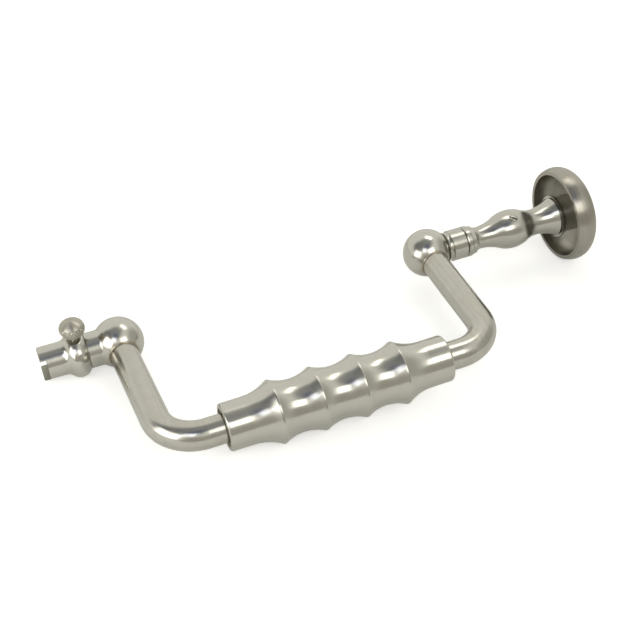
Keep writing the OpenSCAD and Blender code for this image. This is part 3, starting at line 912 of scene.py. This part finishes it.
# turned stainless, polished in the lathe: faint rings, reflections drawn out along the axis. The
# slot and the bore are duller, and their colour is darkened as painted shade in these recesses
SOCKET = Metal(
    "lathe-polished stainless", "#CAC9C2", "#C0BEB5", 0.19, lay=Lay.TURNED, line_mm=1.6,
    line_height_mm=0.0006, anisotropy=0.72,
    painted_recess=RecessPaintedShadeAndLight(bore_r_mm=4.15, colour="#9B9990", roughness=0.4, slot_depth_mm=2.86, slot_half_mm=5.45),
)
# the same work on the turning handle, a shade darker
HANDLE = Metal(
    "lathe-polished stainless, handle", "#C5C4BD", "#B9B7AE", 0.2, lay=Lay.TURNED, line_mm=1.6,
    line_height_mm=0.0006, anisotropy=0.72,
)
# the same work on the grip; its bored ends are rougher and painted paler, as painted light in these
# dark recesses
GRIP = Metal(
    "lathe-polished stainless, grip", "#C9C8C1", "#BFBDB4", 0.2, lay=Lay.TURNED,
    axis_at_mm=GRIP_AXIS_MM, line_mm=1.6, line_height_mm=0.0006, anisotropy=0.72,
    painted_recess=RecessPaintedShadeAndLight(bore_r_mm=8.45, colour="#DCD9CC", roughness=0.6),
)
# stainless brushed round on the lathe and left so: dark, satin, with visible rings
PAD = Metal(
    "brushed stainless, pad", "#BAB6AC", "#9C9990", 0.31, lay=Lay.TURNED, line_mm=0.9,
    line_height_mm=0.0012, line_share=0.7, anisotropy=0.9,
)
# stainless washer faced in the lathe: a thin bright ring
WASHER = Metal(
    "faced stainless washer", "#CFCEC8", "#C4C2BB", 0.18, lay=Lay.TURNED, anisotropy=0.6,
)
# ground steel, bright, seen only in the seam
SPINDLE = Metal(
    "ground stainless spindle", "#C6C5BE", "#BAB8AF", 0.18, lay=Lay.TURNED, anisotropy=0.5,
)
# tin bronze, turned and oiled: brown and a little dull
BRONZE = Metal("oiled bronze bush", "#B5895A", "#9C7348", 0.3, lay=Lay.TURNED)
# the same bronze in the grip's ends, matt, and painted pale as painted light in their dark recess
GRIP_BRONZE = Metal(
    "oiled bronze bush, grip", "#D6C79C", "#C2AE7E", 0.5, lay=Lay.TURNED, axis_at_mm=GRIP_AXIS_MM,
)
# silver solder, filed and polished with the bar: nearly the bar's grey, a little browner
BRAZE = Metal("silver braze", "#AEA899", "#968F80", 0.26, roughness_spread=0.05, cloud_mm=1.5)
# screws of polished steel
SCREW = Metal("polished screw steel", "#C6C5BE", "#B9B7AE", 0.2)
# the sawn slot of the retaining screw is coloured dark and matt
SCREW_SLOT = Metal("sawn screw steel, darkened", "#6E6A5E", "#58544A", 0.5)
# knurled below and turned smooth on top: the dome's reflections are drawn out towards its middle
KNOB = Metal(
    "knurled screw steel", "#BEBBB1", "#ADA99E", 0.38, roughness_spread=0.04, lay=Lay.TURNED,
    axis_way=(0.0, 0.0, 1.0), axis_at_mm=(17.0, 0.0, 0.0), line_height_mm=0.0006, anisotropy=0.85,
)

# two warm lamps to the right and one to the left, and a large cool window high over the camera
LAMPS = (
    Lamp("lamp_far", (315, 141, 422), size_mm=(220, 130), radiance=2.4, colour="#FFFAF0"),
    Lamp("lamp_near_right", (216, -327, 298), size_mm=(240, 170), radiance=2.2, colour="#FFFCF6"),
    Lamp("lamp_window", (-466, -822, 1115), size_mm=(500, 480), radiance=1.9, colour="#EEF2FF"),
    Lamp("lamp_left", (-159, -111, 136), size_mm=(210, 170), radiance=2.2, colour="#FFFDF8"),
)
# what the metal mirrors darker than the pale walls
PATCHES = (
    # the ceiling over the drill
    Patch(turned_deg=0, up_deg=88, core_deg=12, edge_deg=30, colour="#B3B2AF"),
    # the room past the pad
    Patch(turned_deg=-10, up_deg=10, core_deg=15, edge_deg=42, colour="#BEBDB3"),
    # low down, under the camera and to the right of it
    Patch(turned_deg=-112, up_deg=9, core_deg=14, edge_deg=34, colour="#B6B2A8"),
    Patch(turned_deg=-68, up_deg=9, core_deg=14, edge_deg=34, colour="#B6B2A8"),
    # the ceiling to the left
    Patch(turned_deg=-145, up_deg=73, core_deg=20, edge_deg=38, colour="#9C9D9C"),
    # the room past the socket
    Patch(turned_deg=175, up_deg=48, core_deg=14, edge_deg=30, colour="#868787"),
    # a bluish spot over the camera
    Patch(turned_deg=-110, up_deg=67, core_deg=5, edge_deg=17, colour="#70748A"),
)


def main() -> None:
    """Builds the drill's looks and the studio, and reports each piece."""
    logging.basicConfig(level=logging.INFO, format="%(message)s")
    tool = ToolFrame.from_joints(frame["joints"], SEAM_MM)
    groups = (
        CadGroup("crank", {
            "crank_rod": CRANK, "lower_knuckle": BALL, "upper_knuckle": BALL,
            "lower_braze": BRAZE, "upper_braze": BRAZE, "chuck_socket": SOCKET,
            "journal_collar": HANDLE, "spindle": SPINDLE,
        }),
        CadGroup("head", {
            "handle_barrel": HANDLE, "front_bush": BRONZE, "rear_bush": BRONZE,
            "thrust_ball": SCREW, "pad_stud": SCREW, "pad_washer": WASHER, "head_pad": PAD,
        }),
        CadGroup("grip", {
            "grip_sleeve": GRIP, "grip_bush_lower": GRIP_BRONZE, "grip_bush_upper": GRIP_BRONZE,
        }),
        CadGroup("thumb screw", {"lock_stem": KNOB}),
    )
    for group in groups:
        group.build(tool)
    ThumbKnob(KNOB).build(tool)
    KeeperScrew(SCREW, SCREW_SLOT).build(tool)
    Studio(LAMPS, PATCHES).build(tool)


if __name__ == "__main__":
    main()
